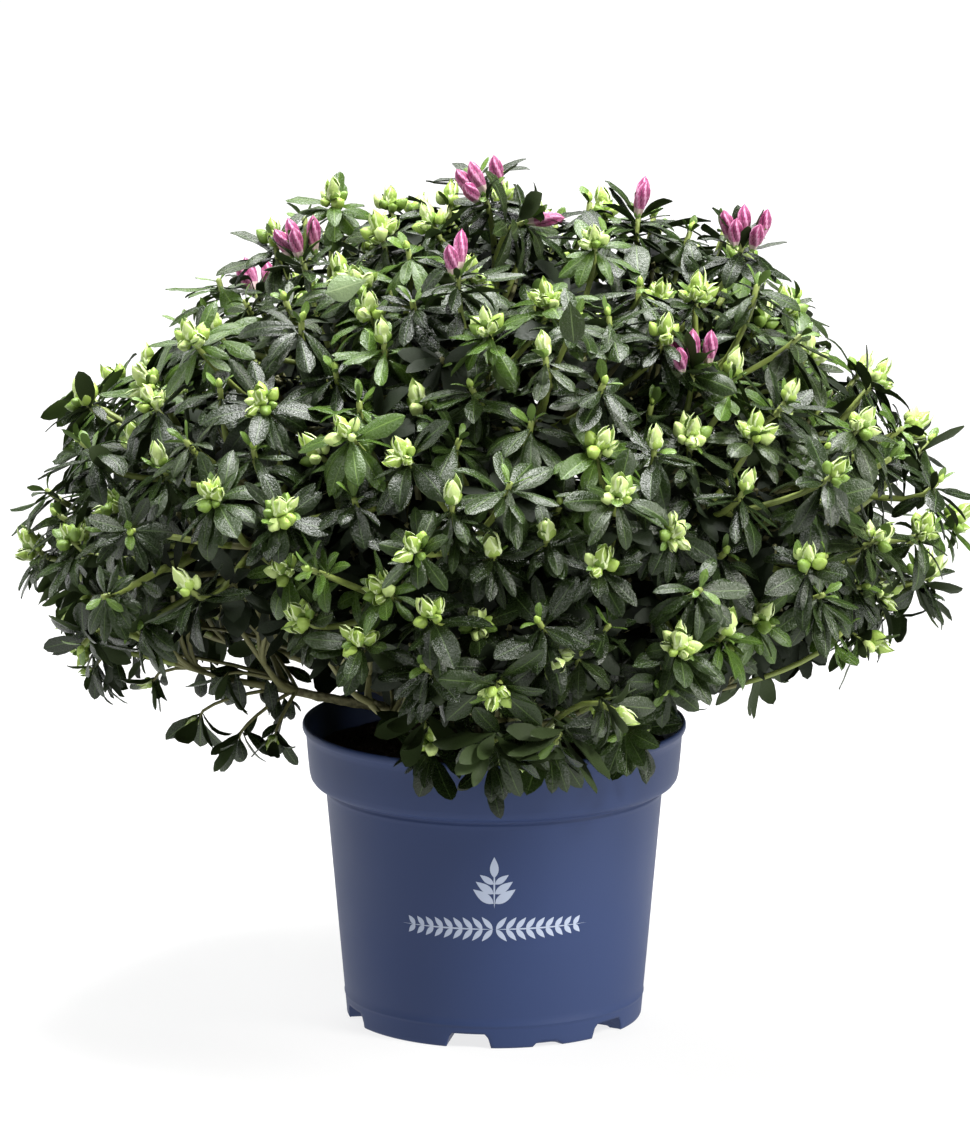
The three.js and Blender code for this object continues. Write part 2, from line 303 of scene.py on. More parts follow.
def centreline(name):
    """A CAD limb's smooth centreline, from its foot by the stem to its far end, and its two radii."""
    points = node_points(name)
    stem = np.array([0.0, 0.0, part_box("stem")[1].z])
    distance = np.linalg.norm(points - stem, axis=1)
    near = points[distance < np.quantile(distance, 0.12)].mean(0)
    far = points[distance > np.quantile(distance, 0.88)].mean(0)
    share = (points - near) @ (far - near) / np.dot(far - near, far - near)
    fit = [np.polyfit(share, points[:, k], 2) for k in range(3)]
    t = np.linspace(share.min(), share.max(), 9)
    path = np.stack([np.polyval(fit[k], t) for k in range(3)], axis=1)
    off = points - np.stack([np.polyval(fit[k], share) for k in range(3)], axis=1)
    reach = np.polyfit(share, np.linalg.norm(off, axis=1), 1)
    return path, np.polyval(reach, t[0]), np.polyval(reach, t[-1])


# ------------------------------------------------------------------ crown layout

CROWN_CENTRE = np.array([0.0, 0.0, 0.272])
MASS_NAMES = sorted(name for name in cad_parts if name.startswith("foliage"))
BOUGH_NAMES = sorted(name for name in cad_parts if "bough" in name)
MASS_POINTS = {name: node_points(name) for name in MASS_NAMES}
MASS_HEARTS = {name: points.mean(0) for name, points in MASS_POINTS.items()}
CROWN_LOW = np.min([points.min(0) for points in MASS_POINTS.values()], axis=0)
CROWN_HIGH = np.max([points.max(0) for points in MASS_POINTS.values()], axis=0)
HALF = (CROWN_HIGH - CROWN_LOW) / 2
HALF[2] = CROWN_HIGH[2] - CROWN_CENTRE[2]
DROP = CROWN_CENTRE[2] - CROWN_LOW[2]


def crown_normal(point):
    out = (point - CROWN_CENTRE) / HALF**2
    if point[2] < CROWN_CENTRE[2]:
        out[2] *= (HALF[2] / DROP) ** 2
    return unit(out)


def crown_level(points):
    rel = points - CROWN_CENTRE
    tall = np.where(rel[..., 2] > 0, HALF[2], DROP)
    return np.sqrt((rel[..., 0] / HALF[0]) ** 2 + (rel[..., 1] / HALF[1]) ** 2 + (rel[..., 2] / tall) ** 2)


def surface_samples(name, count):
    """Random points on a CAD mass, spread evenly over its area."""
    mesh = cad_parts[name].data
    points = MASS_POINTS[name]
    mesh.calc_loop_triangles()
    corners = np.empty(len(mesh.loop_triangles) * 3, np.int32)
    mesh.loop_triangles.foreach_get("vertices", corners)
    a, b, c = (points[corners.reshape(-1, 3)[:, k]] for k in range(3))
    area = np.linalg.norm(np.cross(b - a, c - a), axis=1)
    chosen = rng.choice(len(area), count, p=area / area.sum())
    u, v = rng.random(count), rng.random(count)
    flip = u + v > 1
    u[flip], v[flip] = 1 - u[flip], 1 - v[flip]
    return a[chosen] + (b - a)[chosen] * u[:, None] + (c - a)[chosen] * v[:, None]


def spaced(points, gap, taken=()):
    """Keeps points, in order, that are further than the gap from all kept before."""
    kept = list(taken)
    chosen = []
    for point in points:
        if not kept or np.min(np.linalg.norm(np.array(kept) - point, axis=1)) > gap:
            kept.append(point)
            chosen.append(point)
    return chosen


# ------------------------------------------------------------------ leaves

# Outline of a leaf: share of the half-width at shares of the length, rounded tip, narrow foot.
LEAF_ROWS = np.array([0.0, 0.10, 0.26, 0.44, 0.62, 0.80, 0.93, 1.0])
LEAF_WIDTHS = np.array([0.07, 0.20, 0.58, 0.88, 1.0, 0.86, 0.48, 0.04])
LEAF_COLUMNS = np.array([-1.0, -0.6, -0.05, 0.05, 0.6, 1.0])
SIMPLE_ROWS = np.array([0.0, 0.26, 0.62, 0.88, 1.0])
SIMPLE_WIDTHS = np.array([0.07, 0.62, 1.0, 0.62, 0.04])
SIMPLE_COLUMNS = np.array([-1.0, 0.0, 1.0])


def leaf_sheet(rows, widths, columns, length, half_width, fold, curl, arch, droop):
    """Leaf points in its own frame: x across, y along, z up from its upper face."""
    s, v = np.meshgrid(rows, columns, indexing="ij")
    w = np.interp(s, rows, widths) * half_width
    bend = arch * s + droop * s * s
    along = np.concatenate([[0], np.cumsum(np.diff(rows))]) * length
    heading = arch * rows + droop * rows**2
    y_line = np.concatenate([[0], np.cumsum(np.diff(along) * np.cos((heading[1:] + heading[:-1]) / 2))])
    z_line = np.concatenate([[0], np.cumsum(np.diff(along) * -np.sin((heading[1:] + heading[:-1]) / 2))])
    raised = np.abs(v) * w * math.sin(fold) - curl * w * v * v
    x = v * w * math.cos(fold)
    y = y_line[:, None] + raised * np.sin(bend)
    z = z_line[:, None] + raised * np.cos(bend)
    return np.stack([x, y, z], axis=-1)


def add_leaf(sink, foot, along, face, length, half_width, detailed=True, arch=0.1, droop=0.5):
    """A leaf from its foot, growing along a direction, with its upper side towards face."""
    along = unit(along)
    face = unit(face - along * np.dot(face, along))
    side = np.cross(along, face)
    fold = rng.uniform(0.1, 0.5)
    curl = rng.uniform(0.12, 0.5)
    if detailed:
        rows, widths, columns = LEAF_ROWS, LEAF_WIDTHS, LEAF_COLUMNS
    else:
        rows, widths, columns = SIMPLE_ROWS, SIMPLE_WIDTHS, SIMPLE_COLUMNS
    local = leaf_sheet(rows, widths, columns, length, half_width, fold, curl, arch, droop)
    if detailed:
        ripple = np.sin(rows * 23 + rng.uniform(0, 6))[:, None] * np.abs(columns)[None] * half_width * 0.06
        local[..., 2] += ripple
        local[..., 0] *= 1 + 0.05 * np.sin(rows * 9 + rng.uniform(0, 6))[:, None]
    points = foot + local.reshape(-1, 3) @ np.stack([side, along, face])
    count = len(columns)
    if not detailed:
        sink.add(points, grid_quads(len(rows), count))
        return
    quads = grid_quads(len(rows), count)
    slots = np.where(quads[:, 0] % count == count // 2 - 1, 1, 0)
    thickness = 0.35 * MM
    middle = points.reshape(len(rows), count, 3)[:, [0, 2, 5]].copy()
    # The under sheet reaches a little past the upper face's edges, so a thin rim of the paler under tint
    # shows round each leaf: partly the pale hairy margin, partly a painted highlight where the rolled
    # margin catches the light.
    middle[:, [0, 2]] += (middle[:, [0, 2]] - middle[:, [1]]) * 0.055
    middle[:, 1] -= face * thickness * 2
    under = grid_quads(len(rows), 3, flip=True, start=len(points))
    sink.add(
        np.concatenate([points, middle.reshape(-1, 3) - face * 0.02 * MM]),
        np.concatenate([quads, under]),
        quad_slot=np.concatenate([slots, np.full(len(under), 2)]),
    )


# ------------------------------------------------------------------ buds

WIDEST = 0.42  # share of a bud's length at which it is widest


def ovoid(sink, foot, axis, length, radius, sides, rings, ridges, twist, depth, slot=0):
    """A closed pointed bud with spiral ridges."""
    side, other = across(axis)
    s = np.linspace(0, 1, rings + 2)[1:-1]
    profile = np.sin(np.pi * s ** (math.log(0.5) / math.log(WIDEST))) ** 0.8
    turn = circle(sides, rng.uniform(0, 6))
    ripple = 1 + depth * np.cos(ridges * turn[None] + twist * s[:, None] * 2)
    r = radius * profile[:, None] * ripple
    ring = np.cos(turn)[:, None] * side + np.sin(turn)[:, None] * other
    points = foot + s[:, None, None] * length * axis + r[..., None] * ring[None]
    points = np.concatenate([points.reshape(-1, 3), [foot, foot + axis * length]])
    total = rings * sides
    caps = [end_cap(0, sides, total, foot=True), end_cap(total - sides, sides, total + 1)]
    sink.add(points, ring_quads(rings, sides), np.concatenate(caps), slot, slot)


def scale_leaf(sink, foot, axis, out, length, radius, width, tip_out, slot=0, rim=None):
    """One bud scale: a pointed sheet that hugs the bud, with a free tip and a rim of its own tint."""
    side = np.cross(axis, out)
    rows = np.array([0.0, 0.25, 0.5, 0.75, 1.0])
    reach = np.array([0.35, 0.92, 1.02, 0.72, 0.1]) * radius + np.array([0, 0, 0, 0.2, 1.0]) * tip_out
    spread = np.array([0.5, 0.95, 1.0, 0.62, 0.03]) * width
    v = np.array([-1.0, -0.68, 0.68, 1.0])
    turn = spread[:, None] * v[None]
    hug = reach[:, None] * (1 - 0.12 * v[None] ** 2)
    points = (
        foot
        + rows[:, None, None] * length * axis
        + (hug * np.cos(turn))[..., None] * out
        + (hug * np.sin(turn))[..., None] * side
    )
    quads = grid_quads(len(rows), len(v))
    edge = np.isin(quads[:, 0] % len(v), (0, 2))
    sink.add(points.reshape(-1, 3), quads, quad_slot=np.where(edge, slot if rim is None else rim, slot))


def lime_bud(sink, foot, axis, size, pale):
    """A large leaf bud: a core wrapped in overlapping pointed scales."""
    length, radius = size, size * 0.32
    ovoid(sink, foot, axis, length * 0.86, radius * 0.86, 7, 4, 3, 2, 0.06, slot=pale)
    start = rng.uniform(0, 6)
    for layer, (count, low, tall) in enumerate(((3, 0.18, 0.86), (4, 0.0, 0.66))):
        for i in range(count):
            out = around(axis, start + layer * 0.5 + 2 * np.pi * i / count)
            tint = pale if layer == 0 else int(rng.choice([0, 0, 2]))
            scale_leaf(
                sink, foot + axis * low * length, axis, out, length * tall * rng.uniform(0.8, 1.05),
                radius * (0.98 + 0.1 * layer), 0.9, radius * rng.uniform(0.0, 0.35), slot=tint, rim=3,
            )


# Half-width of a furled flower at shares of its length.
FLOWER_ROWS = (0, 0.12, 0.35, 0.6, 0.8, 0.93, 1)
FLOWER_WIDTHS = (0.35, 0.55, 0.85, 1.0, 0.84, 0.46, 0.1)


def flower_bud(sink, foot, axis, length):
    """A furled azalea flower: five twisted petals, pale at the foot and magenta at the tip."""
    side, other = across(axis)
    lean = unit(side * rng.normal() + other * rng.normal()) * length * rng.uniform(0.03, 0.12)
    sides, rings = 30, 15
    s = np.linspace(0, 1, rings)
    radius = 4.2 * MM * np.interp(s, FLOWER_ROWS, FLOWER_WIDTHS)
    turn = circle(sides)
    petal = 0.84 + 0.26 * np.abs(np.sin(2.5 * (turn[None] + 1.5 * s[:, None])))
    r = radius[:, None] * petal
    ring = np.cos(turn)[:, None] * side + np.sin(turn)[:, None] * other
    centre = foot + s[:, None] * length * axis + (s**2)[:, None] * lean
    points = (centre[:, None] + r[..., None] * ring[None]).reshape(-1, 3)
    quads = ring_quads(rings, sides)
    band = quads[:, 0] // sides
    crest = np.abs(np.sin(2.5 * (turn[quads[:, 0] % sides] + 0.1 + 1.5 * s[band])))
    # The folds between the petals get the darkest tint, painted shade, and the petal ridges a paler one, a
    # painted highlight.
    foot_slot, middle_slot, tip_slot, painted_fold_shade_slot, crest_slot = 1, 2, 3, 4, 5
    slots = np.select(
        [band < 4, crest < 0.24, crest > 0.93, band < 9],
        [foot_slot, painted_fold_shade_slot, crest_slot, middle_slot], tip_slot,
    )
    total = rings * sides
    tip = end_cap(total - sides, sides, total)
    sink.add(np.concatenate([points, [centre[-1] + axis * length * 0.03]]), quads, tip, slots, tip_slot)
    for i in range(5):
        out = around(axis, 2 * np.pi * i / 5 + 0.4)
        sepal_foot = foot - axis * length * 0.04
        scale_leaf(sink, sepal_foot, axis, out, length * 0.34, 2.6 * MM, 0.6, length * 0.02)


# ------------------------------------------------------------------ growing the shrub

leaf_sinks = {tint: [] for tint in LEAF_TINTS}
inner_sink = Sink()
twig_sinks = {"old": Sink(), "green": Sink()}
bud_sinks = []
blossom_sink = Sink()
PIECE_LIMIT = 150_000


def open_piece(sinks):
    """The last piece of a kind; a new one starts before it grows past the limit."""
    if not sinks or sinks[-1].triangles() > PIECE_LIMIT:
        sinks.append(Sink())
    return sinks[-1]


# Darker tints low down are partly the deeper green of leaves grown in shade and partly painted shade for
# the dim lower crown.
LOW_HEIGHT = 0.235  # shoots lower than this bear only dark leaves
LEAF_TURN = 2.4  # radians round the shoot from each leaf or flower to the next


def whorl(foot, axis, tint, count, length, lift, hang, detailed=True, slim=0.172):
    """Leaves round a shoot. lift is their angle from the axis and hang pulls them down."""
    start = rng.uniform(0, 6.3)
    sink = open_piece(leaf_sinks[tint]) if detailed else inner_sink
    for i in range(count):
        out = around(axis, start + i * LEAF_TURN + rng.normal(0, 0.3))
        angle = lift + rng.normal(0, 0.26)
        size = length * rng.triangular(0.55, 1.0, 1.2)
        along = math.cos(angle) * axis + math.sin(angle) * out
        along = unit(along - UP * hang * rng.uniform(0.5, 1.5))
        face = unit(axis * 0.9 + out * -0.35 + UP * 0.4 + rng.normal(0, 0.3, 3))
        place = foot - axis * i * rng.uniform(0.4, 1.0) * MM + out * 0.8 * MM
        add_leaf(
            sink, place, along, face, size, size * slim * rng.uniform(0.68, 1.3), detailed,
            arch=rng.uniform(-0.15, 0.5), droop=rng.uniform(-0.25, 0.95),
        )


def bud_cluster(foot, axis, rank):
    """Leaf buds at a shoot's tip: a large pointed one with smaller ones round it."""
    sink = open_piece(bud_sinks)
    if rank < 0.15:
        lime_bud(sink, foot, unit(axis + UP * 0.3), rng.uniform(15, 19) * MM, 1)
        return
    lead = rng.uniform(13, 18) * MM
    pale = int(rng.random() < 0.5)
    lime_bud(sink, foot, unit(axis + UP * 0.25 + rng.normal(0, 0.1, 3)), lead, pale)
    count = int(rng.integers(3, 9))
    start = rng.uniform(0, 6.3)
    for i in range(count):
        out = around(axis, start + 2 * np.pi * i / count + rng.normal(0, 0.2))
        lean = unit(axis * rng.uniform(0.5, 1.2) + out)
        size = rng.uniform(7.5, 12.5) * MM
        place = foot + out * 3 * MM - axis * rng.uniform(0, 3) * MM
        if rng.random() < 0.4:
            lime_bud(sink, place, lean, size * 1.1, pale)
        else:
            ovoid(sink, place, lean, size, size * 0.34, 8, 5, 3, 2, 0.12, slot=int(rng.integers(0, 3)))


def young_leaves(foot, axis, count, length):
    whorl(foot, axis, "fresh", count, length, rng.uniform(0.35, 0.8), 0.0, slim=0.2)


def dress_shoot(tip, axis, path, size, kind, count_in_head):
    """Puts leaves, buds or flowers on a shoot whose twig ends at tip along axis."""
    low = tip[2] < LOW_HEIGHT
    # Low shoots draw only dark tints: partly shade-grown leaves, partly painted shade.
    tint = rng.choice(["deep", "deep", "dark"] if low else ["deep", "deep", "dark", "dark", "mid", "grey"])
    length = 31 * MM * size
    count = int(rng.integers(7, 11))
    if kind == "flower":
        whorl(tip, axis, tint, 6, length * 0.9, 0.65, 0.0)
    whorl(tip - axis * 3 * MM, axis, tint, count, length, rng.uniform(1.1, 1.5), rng.uniform(0.15, 0.5))
    whorl(tip - axis * 9 * MM, axis, tint, int(rng.integers(3, 6)), length * 1.05, rng.uniform(1.2, 1.75),
          rng.uniform(0.3, 0.7))
    bare_below = rng.random() < 0.4
    for p in [] if bare_below else range(len(path) - 2, max(len(path) - 6, 0), -1):
        heading = unit(path[p + 1] - path[p])
        whorl(path[p], heading, tint, int(rng.integers(1, 3)), length * 0.95, 1.15, 0.45)
    if kind == "flower":
        for i in range(count_in_head):
            out = around(axis, i * LEAF_TURN + rng.uniform(0, 0.6))
            lean = unit(axis + out * rng.uniform(0.1, 0.45))
            apart = (0.5 if i == 0 else rng.uniform(5, 10)) * MM
            flower_bud(blossom_sink, tip + out * apart, lean, rng.uniform(18, 23) * MM + (i == 0) * 4 * MM)
        young_leaves(tip, axis, 4, 19 * MM)
        return
    if kind in ("bud", "rim"):
        bud_cluster(tip, axis, rng.random())
        young_leaves(tip - axis * 2 * MM, axis, int(rng.integers(1, 4)), 15 * MM)
        return
    young_leaves(tip, axis, int(rng.integers(2, 4)), 14 * MM)
    if rng.random() < 0.5:
        ovoid(open_piece(bud_sinks), tip, axis, 7 * MM, 2.2 * MM, 7, 4, 3, 2, 0.12)


def flower_head(bearing, height, flowers, inset, lean=(0, 0, 0)):
    """A flowering shoot. inset is how far its tip lies inside the surface, in millimetres."""
    return {"towards": direction(bearing, height), "flowers": flowers, "inset": inset * MM, "lean": lean}


FLOWER_HEADS = (
    flower_head(-9, 81, 4, 10, (-0.9, -0.2, 0)),
    flower_head(19, 76, 1, 12, (4.0, -0.8, -1.2)),
    flower_head(94, 68, 2, 6),
    flower_head(80, 54, 5, 11, (0.2, 0, 0)),
    flower_head(-80, 59, 4, 9, (-0.5, 0, 0)),
    flower_head(-8, 56, 2, 9),
    flower_head(43, 42, 4, 3, (0, -0.2, 0)),
    flower_head(148, 36, 3, 12),
    flower_head(192, 41, 4, 12),
    flower_head(216, 30, 3, 12),
)

# Levels are 0 at the crown's centre and 1 at its outline.
OUTER_LEVEL = 0.86
INNER_LEVEL = 0.38
PLAIN_LEVEL = 0.94  # plain shoots near the top keep to this level
TOP_HEIGHT = 0.38
TIP_INSET = (6 * MM, 44 * MM)  # how far a shoot's tip may lie inside the mass's surface
PROUD_SHARE = 0.12  # share of shoots that stand out of the surface instead
PROUD_INSET = -4 * MM
SHOOT_GAP = 35 * MM
INNER_GAP = 31 * MM
SURFACE_TRIES = 1500  # places tried on each mass
INNER_TRIES = 400  # and in the box round it
SHOOTS_PER_BRANCH = 6
BUD_SHARE = 0.47  # share of the plain shoots that end in leaf buds

# Bare spaces under the left side, over the rim and under the right side: x and height of the
# centre, half width and half height. Each space slopes up towards the front.
BARE_SPACES = (
    (-0.166, 0.186, 0.068, 0.047),
    (-0.090, 0.160, 0.038, 0.048),
    (0.178, 0.150, 0.078, 0.060),
)
BARE_SLOPE = 0.25
# Thin sprays that hang in the space on the left, by their tips.
LOW_SPRAYS = (
    (-0.152, -0.040, 0.178), (-0.176, -0.030, 0.188), (-0.130, -0.050, 0.182), (-0.204, -0.010, 0.206),
    (-0.240, -0.005, 0.212), (-0.190, 0.020, 0.226), (-0.160, -0.045, 0.216), (-0.138, 0.010, 0.222),
)
# Shoots that hang in front of the rim.
RIM_SHOOTS = (
    (-0.036, -0.126, 0.196), (0.030, -0.130, 0.203), (-0.002, -0.128, 0.188), (0.082, -0.104, 0.200),
)


def in_bare_space(point):
    level = point[2] + BARE_SLOPE * point[1]
    return any(
        math.hypot((point[0] - x) / wide, (level - z) / tall) < 1
        for x, z, wide, tall in BARE_SPACES
    )


def mass_of(point):
    return min(MASS_NAMES, key=lambda name: np.linalg.norm(MASS_HEARTS[name] - point))


def plan_shoots():
    """Tips and kinds of all shoots: flowering and rim shoots first, then surface and inner ones."""
    every = np.concatenate([surface_samples(name, SURFACE_TRIES) for name in MASS_NAMES])
    outer = every[crown_level(every) > OUTER_LEVEL]
    rng.shuffle(outer)
    away = outer - CROWN_CENTRE
    away /= np.linalg.norm(away, axis=1)[:, None]
    flowers = [outer[np.argmax(away @ head["towards"])] for head in FLOWER_HEADS]
    sites = [p for p in spaced(outer, SHOOT_GAP, flowers) if not in_bare_space(p)]
    shoots = [(p, "flower", head) for p, head in zip(flowers, FLOWER_HEADS)]
    shoots += [(np.array(p), "rim", None) for p in RIM_SHOOTS]
    shoots += [(p, "bud" if rng.random() < BUD_SHARE else "leaf", None) for p in sites]
    boxes = [(MASS_POINTS[name].min(0), MASS_POINTS[name].max(0)) for name in MASS_NAMES]
    inner = np.concatenate([rng.uniform(low, high, (INNER_TRIES, 3)) for low, high in boxes])
    level = crown_level(inner)
    inner = inner[(level > INNER_LEVEL) & (level < OUTER_LEVEL)]
    rng.shuffle(inner)
    return shoots + [(p, "inner", None) for p in spaced(inner, INNER_GAP) if not in_bare_space(p)]


def grow():
    """Grows the whole crown, and returns the boughs' centrelines and radii."""
    boughs = {name: centreline(name) for name in BOUGH_NAMES}
    ends = {name: path[-1] for name, (path, _, _) in boughs.items()}
    by_mass = {name: [] for name in MASS_NAMES}
    for shoot in plan_shoots():
        by_mass[mass_of(shoot[0])].append(shoot)
    for name in MASS_NAMES:
        heart = MASS_HEARTS[name]
        bough = min(BOUGH_NAMES, key=lambda b: np.linalg.norm(ends[b] - heart))
        path, _, end_radius = boughs[bough]
        start, heading = path[-1], unit(path[-1] - path[-3])
        grow_mass(start, heading, max(end_radius, 1.6 * MM), by_mass[name])
    line = np.concatenate([path for name, (path, _, _) in boughs.items() if name.startswith("low")])
    for tip in LOW_SPRAYS:
        low_spray(line[np.argmin(np.linalg.norm(line - tip, axis=1))], np.array(tip))
    return boughs


def low_spray(foot, tip):
    """A thin twig with leaves that hang from it one by one, and a small tuft at its end."""
    reach = np.linalg.norm(tip - foot)
    path = bezier(foot, foot + UP * reach * 0.1, tip + UP * reach * 0.2, tip, 8)
    tube(twig_sinks["old"], path, np.linspace(1.5, 0.9, 9) * MM, 5)
    heading = unit(path[-1] - path[-2])
    for i in range(2, 8):
        out = rng.normal(0, 0.5, 3)
        size = rng.uniform(13, 25) * MM
        place = lerp(path[i], path[i + 1], rng.random())
        face = out - np.array([0, 0.8, 0])
        if rng.random() < 0.7:
            add_leaf(open_piece(leaf_sinks["deep"]), place, out - UP, face, size, size * 0.19)
    whorl(tip, heading, "dark", 6, 27 * MM, 1.1, 0.6)
    if rng.random() < 0.6:
        lime_bud(open_piece(bud_sinks), tip, unit(heading + UP * 0.6), rng.uniform(9, 13) * MM, 0)


def clusters(points, count):
    """Splits points into groups round far-apart seeds."""
    seeds = [points[0]]
    while len(seeds) < min(count, len(points)):
        away = np.min([np.linalg.norm(points - seed, axis=1) for seed in seeds], axis=0)
        seeds.append(points[np.argmax(away)])
    for _ in range(4):
        label = np.argmin([np.linalg.norm(points - seed, axis=1) for seed in seeds], axis=0)
        seeds = [points[label == k].mean(0) if np.any(label == k) else seeds[k] for k in range(len(seeds))]
    return label


def grow_mass(start, heading, radius, members):
    """A bough end splits into a few branches, and each branch into the twigs of its shoots."""
    if not members:
        return
    points = np.array([member[0] for member in members])
    labels = clusters(points, max(2, round(len(points) / SHOOTS_PER_BRANCH)))
    for k in sorted(set(labels)):
        chosen = [member for member, label in zip(members, labels) if label == k]
        centre = np.mean([member[0] for member in chosen], axis=0)
        fork = lerp(start, centre, 0.42) + rng.normal(0, 3 * MM, 3)
        fork[2] -= 4 * MM
        reach = np.linalg.norm(fork - start)
        before = fork - unit(centre - start) * reach * 0.3
        branch = bezier(start, start + heading * reach * 0.4, before, fork, 6)
        tube(twig_sinks["old"], branch, np.linspace(radius, radius * 0.62, 7), 7, 0.06)
        onward = unit(branch[-1] - branch[-2])
        for point, kind, head in chosen:
            grow_shoot(fork, onward, radius * 0.6, point, kind, head)


def grow_shoot(fork, onward, radius, point, kind, head):
    """A twig from a branch's fork to a shoot's tip, and what the shoot bears."""
    normal = crown_normal(point)
    axis = unit(normal * 0.75 + UP * (0.55 if normal[2] > -0.4 else 0.3) + rng.normal(0, 0.26, 3))
    inset = lerp(*TIP_INSET, rng.random() ** 2)
    if kind != "inner" and normal[2] > 0.1 and rng.random() < PROUD_SHARE:
        inset = PROUD_INSET
    if point[2] > TOP_HEIGHT:  # plain shoots do not follow the tips that the flowering ones raise
        inset += max(0.0, crown_level(point) - PLAIN_LEVEL) * np.linalg.norm(point - CROWN_CENTRE)
    if kind == "flower":
        axis = unit(axis + UP * 1.2 + head["lean"])
        inset = head["inset"]
    if kind == "rim":
        axis, inset = unit((0, -0.6, 0.7)), 0.0
    tip = point - normal * inset
    reach = np.linalg.norm(tip - fork)
    twig = bezier(fork, fork + onward * reach * 0.3, tip - axis * reach * 0.3, tip, 8)
    radii = np.linspace(min(radius, 2.3 * MM), 1.7 * MM, 9)
    if kind == "inner":
        tube(twig_sinks["old"], twig, radii, 5)
        count = int(rng.integers(5, 9))
        whorl(tip, axis, "deep", count + 2, 29 * MM, rng.uniform(0.9, 1.5), 0.3, detailed=False, slim=0.23)
        return
    old = 2  # steps of the twig that have turned brown
    tube(twig_sinks["old"], twig[: old + 1], radii[: old + 1], 6)
    tube(twig_sinks["green"], twig[old:], radii[old:] + 0.1 * MM, 6)
    dress_shoot(tip, axis, twig, rng.uniform(0.8, 1.15), kind, head["flowers"] if head else 0)


BOUGHS = grow()

# Two broad leaves that turn their flat sides outwards: place, direction and tint.
for place, along, tint in (
    ((-0.074, -0.136, 0.472), (-1.0, -0.1, -0.3), "pale"),
    ((0.043, -0.182, 0.468), (0.1, -0.2, -1.0), "grey"),
):
    add_leaf(open_piece(leaf_sinks[tint]), np.array(place), np.array(along), np.array([0, -1, 0.3]),
             24 * MM, 7.5 * MM, arch=0.0, droop=0.15)


# ------------------------------------------------------------------ boughs and stem with bark

def resampled(path, steps):
    t = np.linspace(0, 1, len(path))
    fine = np.linspace(0, 1, steps)
    return np.stack([np.interp(fine, t, path[:, k]) for k in range(3)], axis=1)


def add_bough(sink, path, foot_radius, end_radius, steps=26):
    """A tapering limb with knots and a slightly crooked line."""
    line = resampled(path, steps)
    radii = np.linspace(foot_radius, end_radius, steps)
    knots = 1 + 0.12 * np.maximum(0, np.sin(np.linspace(0, 1, steps) * 31 + rng.uniform(0, 6))) ** 6
    line[1:-1] += rng.normal(0, 0.25 * MM, (steps - 2, 3))
    tube(sink, line, radii * knots, 12, 0.06)


def add_stem(sink, steps=22):
    """The stem, which follows the CAD stem's own lean and flare."""
    points = node_points("stem")
    heights = points[:, 2]
    line, radii = [], []
    for z in lerp(heights.min(), heights.max(), np.linspace(0, 1, steps)):
        near = points[np.abs(heights - z) < 6 * MM]
        if len(near) < 6:
            near = points[np.argsort(np.abs(heights - z))[:12]]
        centre = near[:, :2].mean(0)
        line.append([*centre, z])
        radii.append(np.linalg.norm(near[:, :2] - centre, axis=1).mean())
    radii = np.convolve(np.pad(radii, 2, mode="edge"), np.ones(5) / 5, mode="valid")
    tube(sink, np.array(line), radii, 22, 0.07)


bark_sink = Sink()
for bough in BOUGHS.values():
    add_bough(bark_sink, *bough)
add_stem(bark_sink)


# ------------------------------------------------------------------ pot

POT_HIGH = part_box("pot")[1]
POT_HEIGHT = POT_HIGH.z
# Radii of the rim, the foot, the top of the body and the foot of the band below the rim.
RIM = POT_HIGH.x
FOOT = 88.7 * MM
BODY_TOP = 101.3 * MM
BAND_FOOT = 111 * MM
BAND_LOW = POT_HEIGHT - 38 * MM
WALL = 2.2 * MM
FLOOR = 12 * MM
# What is cut out of the foot: bearings, half width, height and inner end.
FOOT_CUTS = (
    ([-10 + 60 * i for i in range(6)], 12.2 * MM, 9 * MM, 34 * MM),
    ([21 + 120 * i for i in range(3)], 8 * MM, 3 * MM, 82 * MM),
)
POT_SIDES = 288


def soft_step(x, edge, width):
    t = np.clip((x - edge) / width * 0.5 + 0.5, 0, 1)
    return t * t * (3 - 2 * t)


def foot_rise(x, y):
    """How high the underside is cut away above a point of the foot."""
    radius = np.hypot(x, y)
    bearing = np.degrees(np.arctan2(x, -y))
    rise = np.zeros_like(x)
    for centres, half, height, inner in FOOT_CUTS:
        for centre in centres:
            away = np.radians((bearing - centre + 180) % 360 - 180)
            off = np.abs(radius * np.sin(away))
            inside = 1 - soft_step(off, half, 1.6 * MM)
            inside *= soft_step(radius, inner, 2 * MM) * (np.cos(away) > 0)
            rise = np.maximum(rise, inside * height)
    return rise


def body_radius(z):
    return lerp(FOOT, BODY_TOP, z / BAND_LOW)


